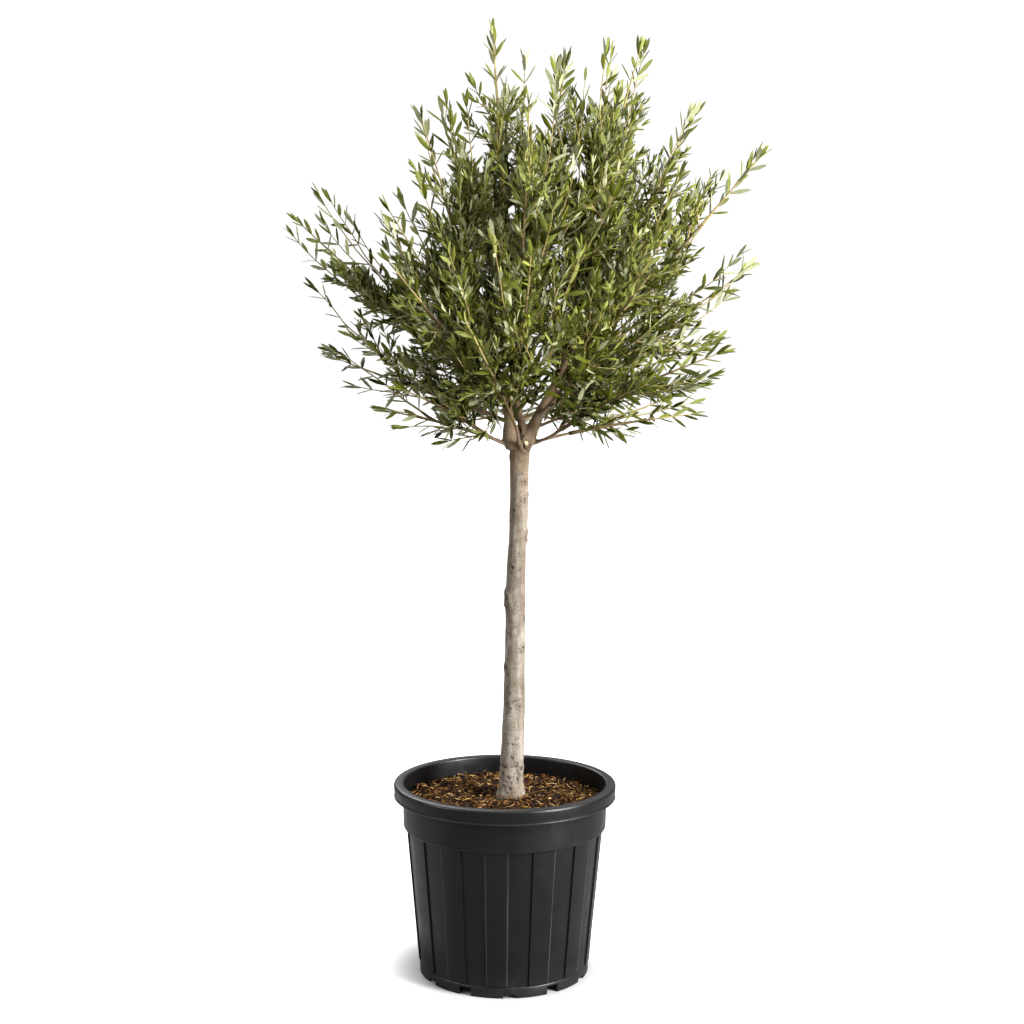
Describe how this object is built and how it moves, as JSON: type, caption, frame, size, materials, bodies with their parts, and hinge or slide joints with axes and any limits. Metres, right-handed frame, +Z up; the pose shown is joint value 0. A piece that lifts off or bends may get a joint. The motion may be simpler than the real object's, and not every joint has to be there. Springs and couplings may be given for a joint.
{
  "type": "potted olive tree",
  "caption": "Standard olive tree in a ribbed round nursery pot: a bare stem that forks into boughs under a rounded, open crown of narrow evergreen leaves.",
  "frame": {"origin": "centre of the pot's flat underside, on the surface it stands on", "axes": "+Z up along the tree, -Y to the front, +X to the right seen from the front"},
  "size_m": [0.9664, 0.8729, 1.9515],
  "materials": {
    "pot_plastic": "charcoal black, faintly satin, with pressed ribs",
    "potting_mix": "coarse brown bark and coir fibre, rough and loose",
    "bark": "smooth pale grey-beige bark with small knots",
    "foliage": "narrow olive-green leaves, dull above and silvery beneath, on khaki twigs"
  },
  "bodies": {
    "root": {"pot": "pot_plastic", "potting_mix": "potting_mix", "trunk": "bark", "bough_left": "bark", "bough_right": "bark", "bough_middle": "bark", "bough_low_left": "bark", "bough_low_right": "bark", "bough_fore": "bark", "bough_aft": "bark", "bough_left_lower": "bark", "bough_left_arm": "bark", "bough_upper_left": "bark", "bough_fore_left": "bark", "bough_aft_left": "bark", "bough_right_lower": "bark", "bough_right_side": "bark", "bough_right_arm": "bark", "bough_top_right": "bark", "bough_fore_right": "bark", "bough_fore_top": "bark", "bough_top_centre": "bark", "bough_aft_top": "bark", "bough_aft_right": "bark", "bough_aft_low_left": "bark", "bough_aft_low_right": "bark", "bough_fore_low_right": "bark", "bough_fore_low_left": "bark", "bough_fore_middle": "bark", "foliage_left": "foliage", "foliage_right": "foliage", "foliage_middle": "foliage", "foliage_low_left": "foliage", "foliage_low_right": "foliage", "foliage_fore": "foliage", "foliage_aft": "foliage", "foliage_left_lower": "foliage", "foliage_left_arm": "foliage", "foliage_upper_left": "foliage", "foliage_fore_left": "foliage", "foliage_aft_left": "foliage", "foliage_right_lower": "foliage", "foliage_right_side": "foliage", "foliage_right_arm": "foliage", "foliage_top_right": "foliage", "foliage_fore_right": "foliage", "foliage_fore_top": "foliage", "foliage_top_centre": "foliage", "foliage_aft_top": "foliage", "foliage_aft_right": "foliage", "foliage_aft_low_left": "foliage", "foliage_aft_low_right": "foliage", "foliage_fore_low_right": "foliage", "foliage_fore_low_left": "foliage", "foliage_fore_middle": "foliage"}
  },
  "joints": []
}
